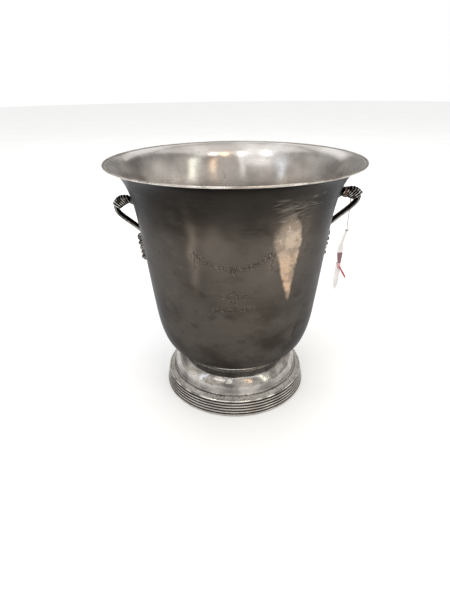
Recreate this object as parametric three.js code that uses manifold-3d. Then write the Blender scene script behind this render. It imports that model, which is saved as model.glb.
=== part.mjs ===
// Footed champagne bucket: a spun, silver-plated bell-shaped bowl on a spreading reeded foot,
// with two cast strap handles and a swing ticket tied to the right handle.
// Millimetres, +Z up, origin at the centre of the bottom. The handles lie along +X and -X.

import * as THREE from 'three';
import { mergeVertices } from 'three/addons/utils/BufferGeometryUtils.js';
import Module from 'manifold-3d';

// ---- driving dimensions ----------------------------------------------------------------------

const RIM_RADIUS = 120;
const HEIGHT = 242;
const SEAT_RADIUS = 46;          // flat under the bowl
const SEAT_HEIGHT = 45;
const WALL = 1.4;                // spun sheet of the bowl
const FOOT_WALL = 1.2;           // spun sheet of the foot
const GAP = 0.3;                 // clearance between touching pieces
const TURNED_SIDES = 48;

const BASE_RADIUS = 77.3;        // crest of the lowest reed
const RING_HEIGHT = 14.9;
const REEDS = 5;
const REED_DEPTH = 0.9;
const RING_TAPER = 2.6;          // how far the reeded band leans in over its height
const FLANGE_INNER_RADIUS = 66;
const FLANGE_THICKNESS = 1.5;

const WIRE_RADIUS = 1.05;        // rolled wire round the lip
const COLLAR_RADIUS = 53.5;
const COLLAR_INNER_RADIUS = 44;
const COLLAR_THICKNESS = 3.2;
const NECK_RADIUS = 48;
const STEP_RADIUS = 67;          // small step between the dome and the flat shoulder
const SHOULDER_RADIUS = 74.3;
const SHOULDER_HEIGHT = 16.3;

const STUD_RADIUS = 3.9;
const STUD_BOTTOM = 28;
const STUD_CHAMFER = 0.8;
const STUD_HEAD_RADIUS = 14;
const STUD_HEAD_HEIGHT = 2.4;
const WASHER_RADIUS = 18;
const WASHER_THICKNESS = 1.6;
const NUT_ACROSS_FLATS = 13;
const NUT_HEIGHT = 6.2;

const STRAP_WIDTH = 8.6;
const STRAP_THICKNESS = 4.6;
const LOBES = 7;                 // ribs of the handle's shell head

// Years of use have bent the handles: from the root outwards, the right one stands up and out, and
// the left one sits down and in. reach scales the distance from the root, and rise is the slope.
const HANDLE_ROOT = 90;
const HANDLE_STANCE = {
  right: { turn: 0, reach: 1.115, rise: 0.105 },
  left: { turn: Math.PI, reach: 0.87, rise: -0.09 },
};

// Boss and graded beads under each arm, from the top: centre height, half height, half width and
// how far the bead stands out from its centre.
const DROP_BEADS = [
  { z: 167.9, halfHeight: 4.4, halfWidth: 3.8, proud: 4.4 },
  { z: 161.6, halfHeight: 3.0, halfWidth: 3.5, proud: 4.9 },
  { z: 156.4, halfHeight: 2.8, halfWidth: 3.2, proud: 4.6 },
  { z: 151.7, halfHeight: 2.5, halfWidth: 3.0, proud: 4.3 },
  { z: 147.0, halfHeight: 2.8, halfWidth: 2.7, proud: 4.6 },
];
const BEAD_CENTRE_PROUD = 1.2;   // bead centres stand this far outside the wall

const THREAD_RADIUS = 0.4;
const CARD_THICKNESS = 0.6;
const TICKET_X = 116;
const TICKET_Y = 7.6;
const THREAD_TOP = 201;
const THREAD_BOTTOM = 167.6;
const RIBBON_WIDTH = 2;
const RIBBON_LENGTH = 15;
const RIBBON_LEAN = 31;          // degrees, outwards

// ---- materials -------------------------------------------------------------------------------

function metal(color, roughness) {
  return new THREE.MeshStandardMaterial({ color, roughness, metalness: 1 });
}

function paper(color) {
  return new THREE.MeshStandardMaterial({ color, roughness: 0.9, metalness: 0 });
}

const tarnishedSilver = metal(0x6f6861, 0.42);
const polishedSilver = metal(0xb9b2a8, 0.22);
const darkSilver = metal(0x57514c, 0.38);
const plainBrass = metal(0xa88b52, 0.45);
const whitePaper = paper(0xe9e2dd);
const redPaper = paper(0xc0474f);
const greyThread = paper(0xb5aaa6);

// ---- helpers ---------------------------------------------------------------------------------

const wasm = await Module();
wasm.setup();

const point = (radius, height) => new THREE.Vector2(radius, height);

function namedMesh(name, geometry, material) {
  const mesh = new THREE.Mesh(geometry, material);
  mesh.name = name;
  return mesh;
}

// A closed (radius, height) outline turned round the Z axis. The outline runs anticlockwise.
function turned(outline, sides = TURNED_SIDES) {
  return new THREE.LatheGeometry(outline, sides).rotateX(Math.PI / 2);
}

function closedLoop(outline) {
  return [...outline, outline[0].clone()];
}

// The outline shifted sideways by a distance, to the right of its direction of travel.
function offsetOutline(outline, distance) {
  return outline.map((here, i) => {
    const before = outline[Math.max(i - 1, 0)];
    const after = outline[Math.min(i + 1, outline.length - 1)];
    const along = after.clone().sub(before).normalize();
    return point(here.x + along.y * distance, here.y - along.x * distance);
  });
}

function toSolid(geometry) {
  const bare = geometry.clone();
  bare.deleteAttribute('normal');
  bare.deleteAttribute('uv');
  const merged = mergeVertices(bare, 1e-4);
  return new wasm.Manifold(new wasm.Mesh({
    numProp: 3,
    vertProperties: Float32Array.from(merged.attributes.position.array),
    triVerts: Uint32Array.from(merged.index.array),
  }));
}

function toGeometry(solid) {
  const mesh = solid.getMesh();
  const geometry = new THREE.BufferGeometry();
  geometry.setAttribute('position', new THREE.BufferAttribute(mesh.vertProperties, mesh.numProp));
  geometry.setIndex(new THREE.BufferAttribute(mesh.triVerts, 1));
  geometry.computeVertexNormals();
  return geometry;
}

function joined(solids) {
  return solids.reduce((whole, next) => whole.add(next));
}

// A lobe: a sphere whose sides are pressed flat, then sized, tilted about Y and put in place.
function lobe({ half, squareness, tilt = 0, x, z, sides = 8, rings = 6 }) {
  const geometry = new THREE.SphereGeometry(1, sides, rings);
  const press = (value) => Math.sign(value) * Math.abs(value) ** squareness;
  const position = geometry.attributes.position;
  for (let i = 0; i < position.count; i += 1) {
    const corner = new THREE.Vector3().fromBufferAttribute(position, i);
    position.setXYZ(i, press(corner.x) * half.x, press(corner.y) * half.y, press(corner.z) * half.z);
  }
  return toSolid(geometry.rotateY(-tilt).translate(x, 0, z));
}

// ---- bowl ------------------------------------------------------------------------------------

// Outer side of the bowl, from the edge of its seat to its lip: rounded bottom, nearly straight
// wall, flared lip.
function bowlOutline(divisions, lipRadius) {
  const path = new THREE.Path();
  path.moveTo(SEAT_RADIUS, SEAT_HEIGHT);
  path.bezierCurveTo(69, SEAT_HEIGHT, 78, 58, 83, 96);
  path.bezierCurveTo(86, 119, 92, 182, 95.2, 200);
  path.bezierCurveTo(99, 221, 105, 237, lipRadius, HEIGHT - 2);
  return path.getPoints(divisions);
}

function makeBowl() {
  const outer = bowlOutline(6, RIM_RADIUS - 2 * WIRE_RADIUS - GAP);
  const inner = offsetOutline(outer, -WALL).reverse();
  inner[inner.length - 1].y = SEAT_HEIGHT + WALL;
  const outline = [point(0, SEAT_HEIGHT), ...outer, ...inner, point(0, SEAT_HEIGHT + WALL)];
  return turned(outline);
}

function makeRimWire() {
  const wire = new THREE.TorusGeometry(RIM_RADIUS - WIRE_RADIUS, WIRE_RADIUS, 8, TURNED_SIDES);
  return wire.translate(0, 0, HEIGHT - WIRE_RADIUS);
}

// The bowl's outer shape grown by the clearance, to trim what is fixed to its side.
function bowlEnvelope() {
  const outer = offsetOutline(bowlOutline(6, RIM_RADIUS - 2 * WIRE_RADIUS - GAP), GAP);
  return toSolid(turned([point(0, outer[0].y), ...outer, point(0, outer.at(-1).y)]));
}

// ---- foot ------------------------------------------------------------------------------------

function makeCollar() {
  const half = COLLAR_THICKNESS / 2;
  const middle = SEAT_HEIGHT - GAP - half;
  const edge = new THREE.Path();
  edge.absarc(COLLAR_RADIUS - half, middle, half, -Math.PI / 2, Math.PI / 2, false);
  return turned(closedLoop([
    point(COLLAR_INNER_RADIUS, middle - half),
    ...edge.getPoints(2),
    point(COLLAR_INNER_RADIUS, middle + half),
  ]));
}

const domeTop = SEAT_HEIGHT - 2 * GAP - COLLAR_THICKNESS;
const studHoleRadius = STUD_RADIUS + 2 * GAP;

// Spun dome of the foot: a flat top with a hole for the stud, a bulging side, a small step and a
// gently sloping shoulder that rests on the reeded ring.
function makeFootDome() {
  const side = new THREE.Path();
  side.moveTo(NECK_RADIUS, domeTop);
  side.bezierCurveTo(57, domeTop - 0.6, STEP_RADIUS, 34, STEP_RADIUS, 21.6);
  const skin = [
    point(SHOULDER_RADIUS, SHOULDER_HEIGHT),
    point(SHOULDER_RADIUS - 1.1, SHOULDER_HEIGHT + 0.9),
    point(STEP_RADIUS + 0.6, 20.2),
    ...side.getPoints(6).reverse(),
    point(studHoleRadius, domeTop),
  ];
  const lowerEdge = RING_HEIGHT + GAP;
  const lining = offsetOutline(skin, -FOOT_WALL).reverse();
  lining[0] = point(studHoleRadius, domeTop - FOOT_WALL);
  lining[lining.length - 2] = point(SHOULDER_RADIUS - 1.7, lowerEdge);
  lining[lining.length - 1] = point(SHOULDER_RADIUS, lowerEdge);
  return turned(closedLoop([...skin, ...lining]));
}

// Reeded band with a flat flange turned in at the bottom, on which the bucket stands.
function makeReededRing() {
  const pitch = RING_HEIGHT / REEDS;
  const outline = [point(FLANGE_INNER_RADIUS, 0)];
  for (let reed = 0; reed < REEDS; reed += 1) {
    const low = reed * pitch;
    const crest = BASE_RADIUS - RING_TAPER * (low / RING_HEIGHT);
    outline.push(point(crest - REED_DEPTH, low));
    outline.push(point(crest, low + pitch * 0.28));
    outline.push(point(crest, low + pitch * 0.72));
  }
  const topRadius = BASE_RADIUS - RING_TAPER - REED_DEPTH;
  outline.push(point(topRadius, RING_HEIGHT));
  outline.push(point(topRadius - 2.6, RING_HEIGHT));
  outline.push(point(topRadius - 2.2, FLANGE_THICKNESS));
  outline.push(point(FLANGE_INNER_RADIUS, FLANGE_THICKNESS));
  return turned(closedLoop(outline));
}

// ---- fixing of the bowl to the foot, hidden inside the foot -------------------------------------

const washerTop = domeTop - FOOT_WALL - GAP;

function makeCentreStud() {
  const headTop = SEAT_HEIGHT - GAP;
  const headBottom = headTop - STUD_HEAD_HEIGHT;
  return turned([
    point(0, STUD_BOTTOM),
    point(STUD_RADIUS - STUD_CHAMFER, STUD_BOTTOM),
    point(STUD_RADIUS, STUD_BOTTOM + STUD_CHAMFER),
    point(STUD_RADIUS, headBottom),
    point(STUD_HEAD_RADIUS, headBottom),
    point(STUD_HEAD_RADIUS, headTop),
    point(0, headTop),
  ], 16);
}

function makeSpreaderWasher() {
  const bore = STUD_RADIUS + GAP;
  return turned(closedLoop([
    point(bore, washerTop - WASHER_THICKNESS),
    point(WASHER_RADIUS, washerTop - WASHER_THICKNESS),
    point(WASHER_RADIUS, washerTop),
    point(bore, washerTop),
  ]), 24);
}

function makeCentreNut() {
  const corner = NUT_ACROSS_FLATS / 2 / Math.cos(Math.PI / 6);
  const corners = Array.from({ length: 6 }, (_, side) => new THREE.Vector2(
    corner * Math.cos(side * Math.PI / 3),
    corner * Math.sin(side * Math.PI / 3),
  ));
  const hexagon = new THREE.Shape(corners);
  const bore = new THREE.Path();
  bore.absarc(0, 0, STUD_RADIUS + GAP, 0, 2 * Math.PI, true);
  hexagon.holes.push(bore);
  const nut = new THREE.ExtrudeGeometry(hexagon, {
    depth: NUT_HEIGHT, bevelEnabled: false, curveSegments: 6,
  });
  return nut.translate(0, 0, washerTop - WASHER_THICKNESS - GAP - NUT_HEIGHT);
}

// ---- handles ---------------------------------------------------------------------------------

// Centre line of the strap, in the plane of the handle: out of the wall under the lip, over the
// head, round the elbow and straight back to the wall.
const strapLine = new THREE.CatmullRomCurve3([
  [90, 202.4], [97, 205], [105, 208], [112, 208.6], [117.1, 204.2], [116.7, 198],
  [112.4, 192.5], [102, 184], [94, 177.4], [86, 170.8],
].map(([x, z]) => new THREE.Vector3(x, 0, z)), false, 'centripetal');

function strapSection() {
  const section = new THREE.Shape();
  section.absellipse(0, 0, STRAP_WIDTH / 2, STRAP_THICKNESS / 2, 0, 2 * Math.PI, false);
  return section;
}

// The shell head: overlapping ribs that fan from the elbow to the wall.
function shellHead() {
  const ribs = [];
  for (let i = 0; i < LOBES; i += 1) {
    const t = i / (LOBES - 1);
    const bulge = Math.sin(Math.PI * t);
    ribs.push(lobe({
      half: { x: 5.4 + 1.2 * bulge - 1.2 * t, y: 7 - 1.6 * t, z: 1.7 },
      squareness: 0.62,
      tilt: THREE.MathUtils.degToRad(34 + 24 * t),
      x: THREE.MathUtils.lerp(115.6, 103.3, t) + 0.8 * bulge,
      z: THREE.MathUtils.lerp(202.8, 207.2, t) + 1.4 * bulge,
    }));
  }
  return joined(ribs);
}

function bendFromRoot({ reach, rise }) {
  return new THREE.Matrix4().set(
    reach, 0, 0, HANDLE_ROOT * (1 - reach),
    0, 1, 0, 0,
    rise, 0, 1, -HANDLE_ROOT * rise,
    0, 0, 0, 1,
  );
}

function makeHandle(envelope, stance) {
  const strap = toSolid(new THREE.ExtrudeGeometry(strapSection(), {
    steps: 28, curveSegments: 5, extrudePath: strapLine,
  }));
  const root = lobe({ half: { x: 5.5, y: 5.4, z: 4.2 }, squareness: 0.8, tilt: 0.2, x: 97, z: 205.4 });
  const casting = toGeometry(joined([strap, shellHead(), root]));
  casting.applyMatrix4(bendFromRoot(stance));
  return toGeometry(toSolid(casting).subtract(envelope));
}

// Boss and graded beads that run down the wall under the arm.
function makeDrop(envelope) {
  const wallRadiusAt = (z) => THREE.MathUtils.mapLinear(z, 145, 176, 88.5, 91.9);
  const chain = DROP_BEADS.map((bead) => lobe({
    half: { x: bead.proud, y: bead.halfWidth, z: bead.halfHeight },
    squareness: 0.85,
    x: wallRadiusAt(bead.z) + BEAD_CENTRE_PROUD,
    z: bead.z,
  }));
  return toGeometry(joined(chain).subtract(envelope));
}

// ---- swing ticket ----------------------------------------------------------------------------

function makeThread() {
  const section = new THREE.Shape();
  section.absarc(0, 0, THREAD_RADIUS, 0, 2 * Math.PI, false);
  const line = new THREE.CatmullRomCurve3([
    new THREE.Vector3(TICKET_X, TICKET_Y, THREAD_TOP),
    new THREE.Vector3(TICKET_X + 0.2, TICKET_Y, 190),
    new THREE.Vector3(TICKET_X - 0.2, TICKET_Y, 178),
    new THREE.Vector3(TICKET_X, TICKET_Y, THREAD_BOTTOM),
  ]);
  return new THREE.ExtrudeGeometry(section, { steps: 16, curveSegments: 4, extrudePath: line });
}

// A flat card given by its outline (across from the thread, up), facing -Y, centred on the given y.
function card(corners, middle) {
  const outline = new THREE.Shape(corners.map(([across, up]) => new THREE.Vector2(across, up)));
  const sheet = new THREE.ExtrudeGeometry(outline, { depth: CARD_THICKNESS, bevelEnabled: false });
  return sheet.rotateX(Math.PI / 2).translate(TICKET_X, middle + CARD_THICKNESS / 2, 0);
}

// Leaf-shaped card: it hangs from its upper tip and leans a little towards the bowl.
function makeCard() {
  return card([
    [-1.2, THREAD_BOTTOM - GAP], [-5.4, 154], [-7.8, 147.5], [-7.6, 141], [-6, 129.5],
    [-4.6, 124.5], [-3.2, 124.5], [-3, 129.5], [-2, 142], [-2.2, 154], [1, THREAD_BOTTOM - GAP],
  ], TICKET_Y);
}

function makeStub() {
  return card([
    [-7.6, 101.4], [-6.8, 100], [-5.6, 100], [-3.4, 107], [-2.4, 118], [-2.4, 132], [-7.2, 132],
    [-8.6, 114],
  ], TICKET_Y + CARD_THICKNESS + GAP);
}

function makeRibbon() {
  const strip = new THREE.BoxGeometry(RIBBON_WIDTH, CARD_THICKNESS, RIBBON_LENGTH);
  strip.rotateY(THREE.MathUtils.degToRad(-RIBBON_LEAN));
  return strip.translate(TICKET_X, TICKET_Y - CARD_THICKNESS - GAP, 120.5);
}

// ---- assembly --------------------------------------------------------------------------------

const envelope = bowlEnvelope();
const drop = makeDrop(envelope);

const bucket = new THREE.Group();
bucket.add(
  namedMesh('bowl', makeBowl(), tarnishedSilver),
  namedMesh('rim_wire', makeRimWire(), polishedSilver),
  namedMesh('foot_collar', makeCollar(), polishedSilver),
  namedMesh('foot_dome', makeFootDome(), polishedSilver),
  namedMesh('reeded_ring', makeReededRing(), polishedSilver),
  namedMesh('centre_stud', makeCentreStud(), plainBrass),
  namedMesh('spreader_washer', makeSpreaderWasher(), plainBrass),
  namedMesh('centre_nut', makeCentreNut(), plainBrass),
);

for (const [side, stance] of Object.entries(HANDLE_STANCE)) {
  const pair = new THREE.Group();
  pair.rotation.z = stance.turn;
  pair.add(
    namedMesh(`handle_${side}`, makeHandle(envelope, stance), darkSilver),
    namedMesh(`bead_drop_${side}`, drop, darkSilver),
  );
  bucket.add(pair);
}

bucket.add(
  namedMesh('ticket_thread', makeThread(), greyThread),
  namedMesh('ticket_card', makeCard(), whitePaper),
  namedMesh('ticket_stub', makeStub(), whitePaper),
  namedMesh('ticket_ribbon', makeRibbon(), redPaper),
);

export default bucket;
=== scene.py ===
"""Looks of a footed champagne bucket in tarnished silver plate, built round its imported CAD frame.

The script places things in metres, +Z up. Shapes are worked out in millimetres, and piece_from()
turns them into metres. An azimuth is an angle in degrees from the front (-Y) towards +X.
"""

import math

import bmesh
import bpy
import numpy as np
from mathutils import Matrix, Vector
from mathutils.bvhtree import BVHTree


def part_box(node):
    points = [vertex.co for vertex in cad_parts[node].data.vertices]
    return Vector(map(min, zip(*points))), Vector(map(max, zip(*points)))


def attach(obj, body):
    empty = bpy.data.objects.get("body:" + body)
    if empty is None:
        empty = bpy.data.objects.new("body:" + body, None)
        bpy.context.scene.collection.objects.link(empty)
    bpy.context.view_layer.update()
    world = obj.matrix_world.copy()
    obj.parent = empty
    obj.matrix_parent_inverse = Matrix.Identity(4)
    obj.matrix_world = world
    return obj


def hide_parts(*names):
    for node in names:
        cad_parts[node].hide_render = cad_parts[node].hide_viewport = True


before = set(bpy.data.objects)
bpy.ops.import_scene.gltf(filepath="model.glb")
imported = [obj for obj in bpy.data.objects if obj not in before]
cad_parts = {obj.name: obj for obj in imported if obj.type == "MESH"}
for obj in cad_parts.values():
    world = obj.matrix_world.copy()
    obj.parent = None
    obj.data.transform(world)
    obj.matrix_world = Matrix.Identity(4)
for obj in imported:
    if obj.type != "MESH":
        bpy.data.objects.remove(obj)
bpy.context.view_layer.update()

MM = 0.001


def reach(node):
    """Highest corner of a CAD node's box, in millimetres."""
    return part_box(node)[1] / MM


# ---- sizes, in millimetres ----

RIM_RADIUS = reach("rim_wire").x
HEIGHT = reach("rim_wire").z
BASE_RADIUS = reach("reeded_ring").x
RING_HEIGHT = reach("reeded_ring").z
COLLAR_RADIUS = reach("foot_collar").x
COLLAR_TOP = reach("foot_collar").z
DOME_TOP = reach("foot_dome").z
STUD_HEAD_TOP = reach("centre_stud").z
WASHER_TOP = reach("spreader_washer").z
WASHER_RADIUS = reach("spreader_washer").x
NUT_TOP = reach("centre_nut").z
THREAD_TOP = reach("ticket_thread").z
CARD_TIP = reach("ticket_card").z

SEAT_RADIUS = 46
SEAT_HEIGHT = 45
WALL = 1.4
FOOT_WALL = 1.2
WIRE_RADIUS = 0.9
COLLAR_THICKNESS = 3.2
COLLAR_INNER_RADIUS = 44
COLLAR_PROUD = 1.2
NECK_RADIUS = 48
STEP_RADIUS = 67
SHOULDER_RADIUS = 74.3
SHOULDER_HEIGHT = 16.3
REEDS = 5
REED_DEPTH = 1.2
RING_TAPER = 2.6
FLANGE_INNER_RADIUS = 66
FLANGE_THICKNESS = 1.5
STUD_RADIUS = 3.9
STUD_BOTTOM = 28
STUD_HEAD_RADIUS = 14
STUD_HEAD_HEIGHT = 2.4
STUD_THREAD_PITCH = 0.9
BORE_GAP = 0.3
DOME_HOLE_RADIUS = STUD_RADIUS + 0.6
NUT_ACROSS_FLATS = 13
NUT_HEIGHT = 6.2
STRAP_WIDTH = 8.6
STRAP_THICKNESS = 4.6
LOBES = 7
LOBE_FIRST = (115.6, 202.8)
LOBE_LAST = (103.3, 207.2)
HANDLE_ROOT = 90
THREAD_RADIUS = 0.4
CARD_THICKNESS = 0.6
TICKET_X = 116
TICKET_Y = 7.6
TIE_START = (105.6, 206.7)
TIE_TURNS = 3.4

ENGRAVING_AZIMUTH = -4
ENGRAVING_HEIGHTS = (120, 188)

# How each handle has been bent: its turn about Z, the scale of its distance from the root, its slope.
HANDLE_STANCES = {"right": (0, 1.115, 0.105), "left": (math.pi, 0.87, -0.09)}


# ---- camera ----


def linked(name, data):
    """A new object in the scene."""
    made = bpy.data.objects.new(name, data)
    bpy.context.scene.collection.objects.link(made)
    return made


def make_camera():
    """The viewing angle: from above the front, with a wide lens close to the object."""
    turn, pitch, yaw, roll = (math.radians(angle) for angle in (-2, 26.86, -0.14, -0.749))
    forward = Vector((
        math.sin(yaw) * math.cos(pitch), math.cos(yaw) * math.cos(pitch), -math.sin(pitch),
    ))
    right = Vector((math.cos(yaw), -math.sin(yaw), 0))
    axes = Matrix((right, right.cross(forward), -forward)).transposed()
    axes = Matrix.Rotation(turn, 3, "Z") @ axes @ Matrix.Rotation(roll, 3, "Z")
    data = bpy.data.cameras.new("camera")
    data.lens = 26.62
    camera = linked("camera", data)
    place = Matrix.Rotation(turn, 3, "Z") @ Vector((-9.3, -426.3, 310.2)) * MM
    camera.matrix_world = Matrix.Translation(place) @ axes.to_4x4()
    bpy.context.scene.camera = camera


# ---- outlines ----


def bezier(start, out, into, end, count=24):
    t = np.linspace(0, 1, count)[:, None]
    start, out, into, end = (np.array(p, float) for p in (start, out, into, end))
    return (1 - t) ** 3 * start + 3 * (1 - t) ** 2 * t * out + 3 * (1 - t) * t * t * into + t ** 3 * end


def arc(centre, radius, start, end, count=9):
    """Part of a circle in an outline; the angles are in degrees, from outwards towards up."""
    angles = np.radians(np.linspace(start, end, count))
    return np.stack([centre[0] + radius * np.cos(angles), centre[1] + radius * np.sin(angles)], 1)


def directions_along(line):
    """The unit direction of travel at each point."""
    along = np.gradient(line, axis=0)
    return along / np.linalg.norm(along, axis=1)[:, None]


def step_lengths(line):
    return np.linalg.norm(np.diff(line, axis=0), axis=1)


def offset(outline, distance):
    """The outline moved sideways, to the right of its direction of travel."""
    along = directions_along(outline)
    return outline + distance * np.stack([along[:, 1], -along[:, 0]], 1)


def respaced(outline, step_at):
    """The outline with new points, each step_at(radius, height) beyond the last."""
    lengths = np.concatenate([[0], np.cumsum(step_lengths(outline))])

    def at(stops):
        return np.stack([np.interp(stops, lengths, outline[:, axis]) for axis in (0, 1)], -1)

    stops, here = [], 0.0
    while here < lengths[-1]:
        stops.append(here)
        here += step_at(*at(here))
    return at(stops + [lengths[-1]])


def smooth_line(points, count):
    """A centripetal Catmull-Rom line through the points."""
    points = np.array(points, float)
    points = np.vstack([2 * points[0] - points[1], points, 2 * points[-1] - points[-2]])
    knots = np.concatenate([[0], np.cumsum(step_lengths(points) ** 0.5)])
    line = []
    for t in np.linspace(knots[1], knots[-2], count):
        i = min(max(np.searchsorted(knots, t, side="right") - 1, 1), len(points) - 3)
        layer = points[i - 1:i + 3]
        times = knots[i - 1:i + 3]
        for span in (1, 2, 3):
            layer = [
                ((times[k + span] - t) * layer[k] + (t - times[k]) * layer[k + 1])
                / (times[k + span] - times[k])
                for k in range(len(layer) - 1)
            ]
        line.append(layer[0])
    return np.array(line)


# ---- making and shaping pieces ----


def piece_from(name, build, sharp=None):
    """A new mesh object from build(bm), which works in millimetres."""
    bm = bmesh.new()
    build(bm)
    bmesh.ops.recalc_face_normals(bm, faces=bm.faces)
    bmesh.ops.scale(bm, vec=(MM, MM, MM), verts=bm.verts)
    mesh = bpy.data.meshes.new(name)
    bm.to_mesh(mesh)
    bm.free()
    mesh.shade_smooth()
    if sharp:
        mesh.set_sharp_from_angle(angle=math.radians(sharp))
    return linked(name, mesh)


def add_grid(bm, points, round_rows=False, round_columns=False, capped=False):
    """Quads over a grid of points, rows by columns."""
    rows, columns = points.shape[:2]
    made = [[bm.verts.new(p) for p in row] for row in points]
    for i in range(rows if round_rows else rows - 1):
        for j in range(columns if round_columns else columns - 1):
            low, high = made[i], made[(i + 1) % rows]
            bm.faces.new((low[j], low[(j + 1) % columns], high[(j + 1) % columns], high[j]))
    if capped:
        bm.faces.new(made[0][::-1])
        bm.faces.new(made[-1])


def turned(name, outline, azimuths=128, closed=True, sharp=None):
    """The outline of (radius, height) points turned round the Z axis."""
    if isinstance(azimuths, int):
        azimuths = np.arange(azimuths) * 360 / azimuths
    turn = np.radians(azimuths)[None, :]
    radius, height = outline[:, :1], outline[:, 1:]
    points = np.stack([radius * np.sin(turn), -radius * np.cos(turn), height + 0 * turn], -1)

    def build(bm):
        add_grid(bm, points, round_rows=closed, round_columns=True)
        bmesh.ops.remove_doubles(bm, verts=bm.verts, dist=1e-4)

    return piece_from(name, build, sharp)


def read(items, field, width, kind=float):
    """A field of a mesh's points or edges, one row each."""
    flat = np.empty(len(items) * width, kind)
    items.foreach_get(field, flat)
    return flat.reshape(-1, width)


def places(piece):
    """The mesh's points in millimetres."""
    return read(piece.data.vertices, "co", 3) / MM


def set_places(piece, points):
    piece.data.vertices.foreach_set("co", (points * MM).ravel())
    piece.data.update()


def normals(piece):
    return read(piece.data.vertices, "normal", 3)


def add_layer(piece, name, values):
    """A number from 0 to 1 at each point, for the materials to read."""
    layer = piece.data.attributes.new(name, "FLOAT", "POINT")
    layer.data.foreach_set("value", np.clip(values, 0, 1).astype(np.float32))


def azimuth_of(points):
    return np.degrees(np.arctan2(points[:, 0], -points[:, 1]))


def degrees_from(azimuth, points):
    return (azimuth_of(points) - azimuth + 180) % 360 - 180


def radius_of(points):
    return np.hypot(points[:, 0], points[:, 1])


def push_out(points, distances):
    """Moves each point away from the Z axis, in place."""
    points[:, :2] *= (1 + distances / np.maximum(radius_of(points), 1))[:, None]


def ripple(points, wavelength, seed, count=20):
    """Smooth irregular waves from about -1 to 1, the same on every run."""
    chance = np.random.default_rng(seed)
    directions = chance.normal(size=(count, 3))
    directions /= np.linalg.norm(directions, axis=1)[:, None]
    pitches = wavelength * chance.uniform(0.7, 1.5, count)
    phases = chance.uniform(0, 2 * math.pi, count)
    total = np.zeros(len(points))
    for direction, pitch, phase in zip(directions, pitches, phases):
        total += np.cos(2 * math.pi * (points @ direction) / pitch + phase)
    return total / math.sqrt(2 * count)


def step_between(values, low, high):
    """0 below low, 1 above high, smooth between."""
    t = np.clip((values - low) / (high - low), 0, 1)
    return t * t * (3 - 2 * t)


def finish_piece(piece, body, slot, materials, *nodes):
    for material in materials:
        piece.data.materials.append(material)
    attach(piece, body)
    if nodes:
        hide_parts(*nodes)
    return piece


# ---- materials ----


class Nodes:
    """Shader nodes added to one tree. An input is a socket to link or a plain value."""

    def __init__(self, tree):
        self.tree = tree

    def add(self, kind, inputs, **properties):
        made = self.tree.nodes.new(kind)
        for name, value in properties.items():
            setattr(made, name, value)
        for socket, value in inputs.items():
            self.feed(made.inputs[socket], value)
        return made

    def feed(self, socket, value):
        if isinstance(value, bpy.types.NodeSocket):
            self.tree.links.new(value, socket)
        else:
            socket.default_value = value

    def ramp(self, value, low, high, at_low=0.0, at_high=1.0):
        inputs = {"Value": value, "From Min": low, "From Max": high, "To Min": at_low, "To Max": at_high}
        return self.add("ShaderNodeMapRange", inputs, interpolation_type="SMOOTHSTEP").outputs["Result"]

    def maths(self, operation, a, b):
        return self.add("ShaderNodeMath", {0: a, 1: b}, operation=operation).outputs[0]

    def sum(self, a, b):
        return self.maths("ADD", a, b)

    def product(self, a, b):
        return self.maths("MULTIPLY", a, b)

    def mix(self, factor, a, b):
        """Colours a and b, each a socket or an (r, g, b) triple."""
        made = self.add("ShaderNodeMix", {0: factor}, data_type="RGBA")
        for socket, colour in ((made.inputs[6], a), (made.inputs[7], b)):
            self.feed(socket, colour if isinstance(colour, bpy.types.NodeSocket) else (*colour, 1))
        return made.outputs[2]


class Layers(Nodes):
    """The nodes of one Principled material, in the object's own coordinates (metres)."""

    def __init__(self, name, metallic, **constants):
        self.material = bpy.data.materials.new(name)
        self.material.use_nodes = True
        super().__init__(self.material.node_tree)
        self.shader = self.tree.nodes["Principled BSDF"]
        self.shader.inputs["Metallic"].default_value = metallic
        for socket, value in constants.items():
            self.shader.inputs[socket.replace("_", " ")].default_value = value
        self.place = self.add("ShaderNodeTexCoord", {}).outputs["Object"]

    def noise(self, scale, detail=3.0, stretch=(1, 1, 1), roughness=0.55):
        stretched = self.add("ShaderNodeVectorMath", {0: self.place, 1: stretch}, operation="MULTIPLY")
        inputs = {"Vector": stretched.outputs[0], "Scale": scale, "Detail": detail, "Roughness": roughness}
        return self.add("ShaderNodeTexNoise", inputs).outputs[0]

    def layer(self, name):
        return self.add("ShaderNodeAttribute", {}, attribute_name=name).outputs["Fac"]

    def height(self):
        return self.add("ShaderNodeSeparateXYZ", {0: self.place}).outputs["Z"]

    def finish(self, colour, roughness, bump=None, bump_depth=0.0002, spun=False):
        self.feed(self.shader.inputs["Base Color"], colour)
        self.feed(self.shader.inputs["Roughness"], roughness)
        if bump is not None:
            inputs = {"Height": bump, "Distance": bump_depth, "Strength": 1.0}
            self.tree.links.new(self.add("ShaderNodeBump", inputs).outputs[0], self.shader.inputs["Normal"])
        if spun:
            tangent = self.add("ShaderNodeTangent", {}, direction_type="RADIAL", axis="Z")
            self.tree.links.new(tangent.outputs[0], self.shader.inputs["Tangent"])
        return self.material


SPUN_LINES = (25, 25, 2600)


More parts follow.
